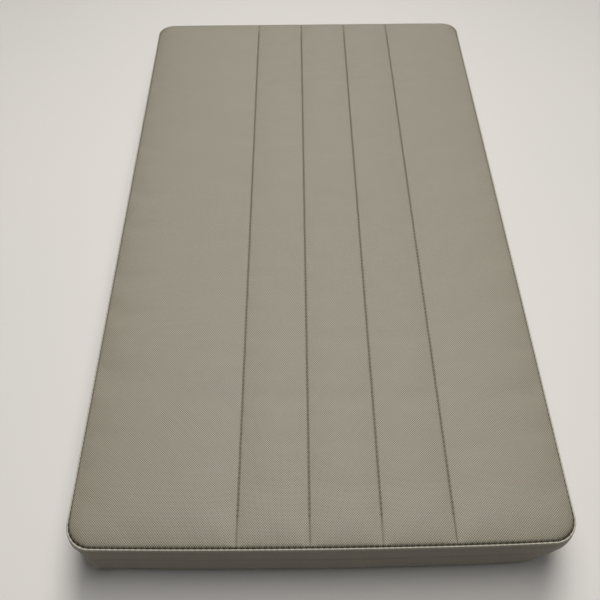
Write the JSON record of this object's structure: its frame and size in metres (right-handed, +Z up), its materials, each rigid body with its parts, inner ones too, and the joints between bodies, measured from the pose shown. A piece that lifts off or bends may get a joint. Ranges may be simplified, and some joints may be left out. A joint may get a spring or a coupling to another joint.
{
  "type": "kneeling pad",
  "caption": "Rectangular kneeling pad: sewn vinyl cover with lengthwise stitched pleats over foam on a plywood base, stapled and closed underneath with a dust cloth.",
  "frame": {"origin": "centre of the pad's underside, on the floor", "axes": "+X across the width, +Y along the length, +Z up out of the kneeling face; the pleats lie nearer the +X side"},
  "size_m": [0.3542, 0.6102, 0.0537],
  "materials": {
    "cover_vinyl": "satin",
    "thread": "satin",
    "foam": "matte",
    "sew_foam": "matte",
    "plywood": "matte",
    "dust_cloth": "matte",
    "staple_steel": "satin"
  },
  "bodies": {
    "root": {"base_board": "plywood", "foam_core": "foam", "sew_foam": "sew_foam", "top_panel": "cover_vinyl", "band_front": "cover_vinyl", "band_back": "cover_vinyl", "seam_needle_thread": "thread", "seam_bobbin_thread": "thread", "joint_thread_left": "thread", "joint_thread_right": "thread", "pleat_needle_thread_1": "thread", "pleat_bobbin_thread_1": "thread", "pleat_needle_thread_2": "thread", "pleat_bobbin_thread_2": "thread", "pleat_needle_thread_3": "thread", "pleat_bobbin_thread_3": "thread", "pleat_needle_thread_4": "thread", "pleat_bobbin_thread_4": "thread", "cover_staples": "staple_steel", "dust_cover": "dust_cloth", "dust_cover_staples": "staple_steel"}
  },
  "joints": []
}
